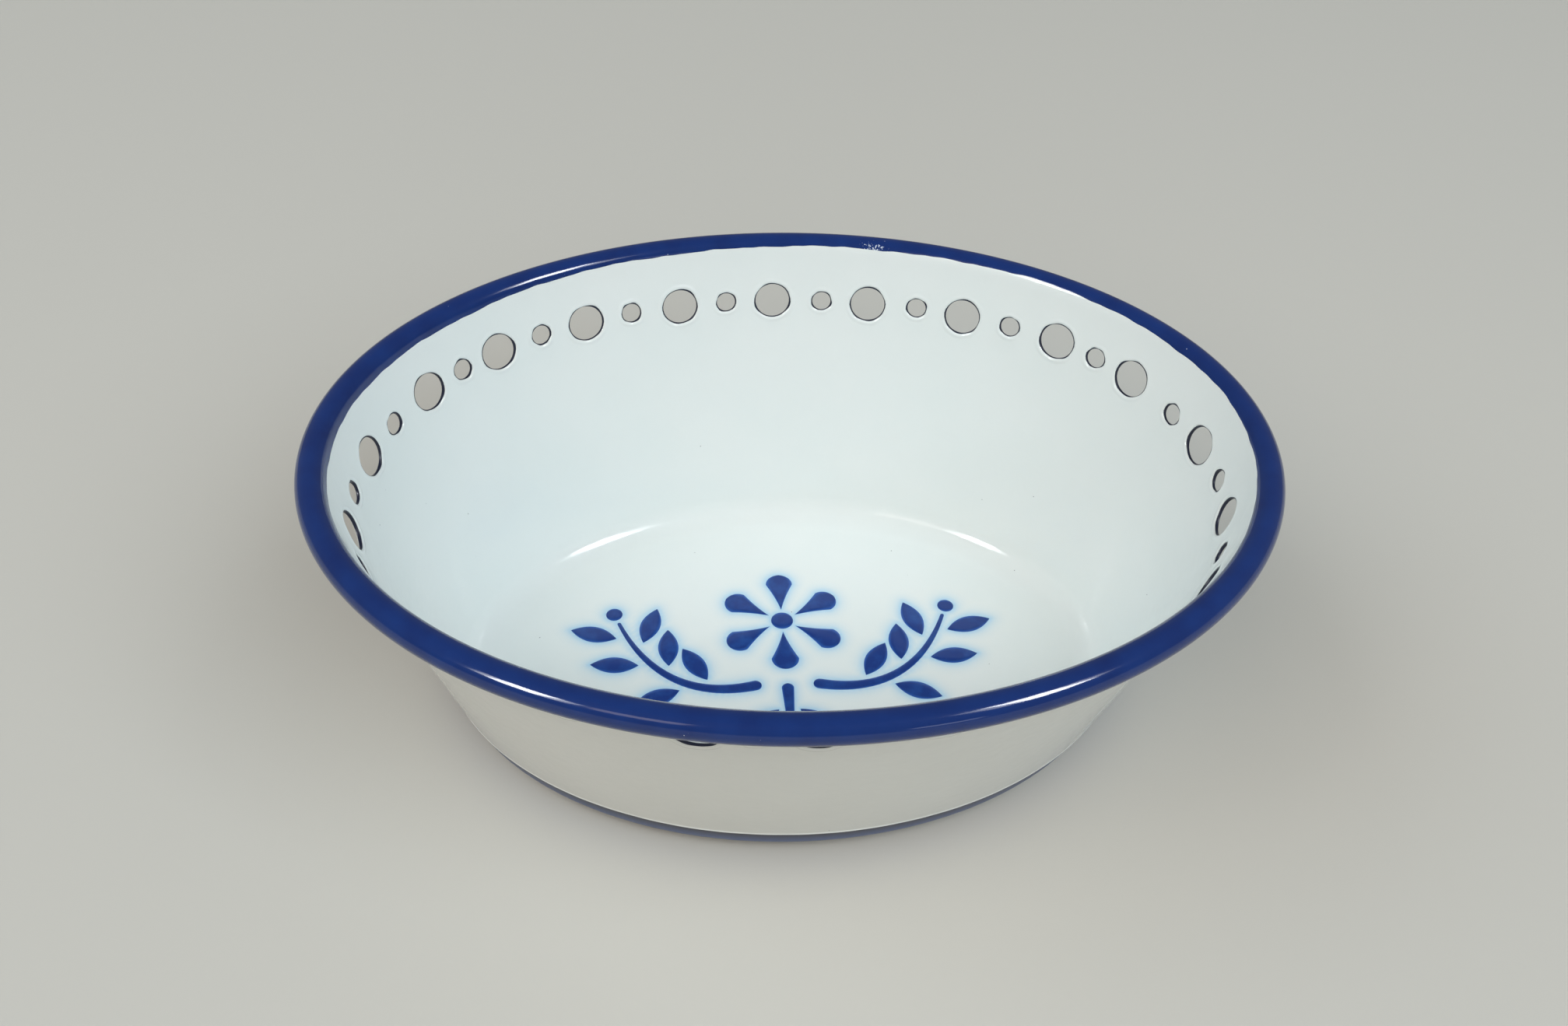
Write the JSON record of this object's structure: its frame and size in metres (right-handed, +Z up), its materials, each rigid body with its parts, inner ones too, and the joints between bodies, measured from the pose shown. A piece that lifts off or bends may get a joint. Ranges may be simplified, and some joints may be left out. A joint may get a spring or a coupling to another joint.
{
  "type": "enamel bread bowl",
  "caption": "Oval enamelled-steel bowl with a flared wall, a rolled rim and a row of alternating holes under the rim, for bread or fruit on a table.",
  "frame": {"origin": "on the table, under the middle of the floor", "axes": "+X along the bowl, +Y towards the back across it, +Z up"},
  "size_m": [0.261, 0.201, 0.0942],
  "materials": {
    "ground_coated_steel": "pressed sheet steel with a fused dark-blue glossy ground coat",
    "white_enamel": "glossy cool-white vitreous enamel",
    "blue_rim_enamel": "glossy cobalt-blue vitreous enamel, brushed on",
    "blue_painted_enamel": "cobalt-blue painted enamel, fused and slightly bled into the white"
  },
  "bodies": {
    "root": {"body": "ground_coated_steel", "white_lining": "white_enamel", "white_outer_coat": "white_enamel", "rim_edging": "blue_rim_enamel", "berry_left": "blue_painted_enamel", "berry_right": "blue_painted_enamel", "branch_left": "blue_painted_enamel", "branch_right": "blue_painted_enamel", "flower_eye": "blue_painted_enamel", "flower_petal_1": "blue_painted_enamel", "flower_petal_2": "blue_painted_enamel", "flower_petal_3": "blue_painted_enamel", "flower_petal_4": "blue_painted_enamel", "flower_petal_5": "blue_painted_enamel", "flower_petal_6": "blue_painted_enamel", "leaf_left_above_1": "blue_painted_enamel", "leaf_left_above_2": "blue_painted_enamel", "leaf_left_above_3": "blue_painted_enamel", "leaf_left_below_1": "blue_painted_enamel", "leaf_left_below_2": "blue_painted_enamel", "leaf_left_below_3": "blue_painted_enamel", "leaf_right_above_1": "blue_painted_enamel", "leaf_right_above_2": "blue_painted_enamel", "leaf_right_above_3": "blue_painted_enamel", "leaf_right_below_1": "blue_painted_enamel", "leaf_right_below_2": "blue_painted_enamel", "leaf_right_below_3": "blue_painted_enamel", "stalk": "blue_painted_enamel", "stalk_leaf_left": "blue_painted_enamel", "stalk_leaf_right": "blue_painted_enamel"}
  },
  "joints": []
}
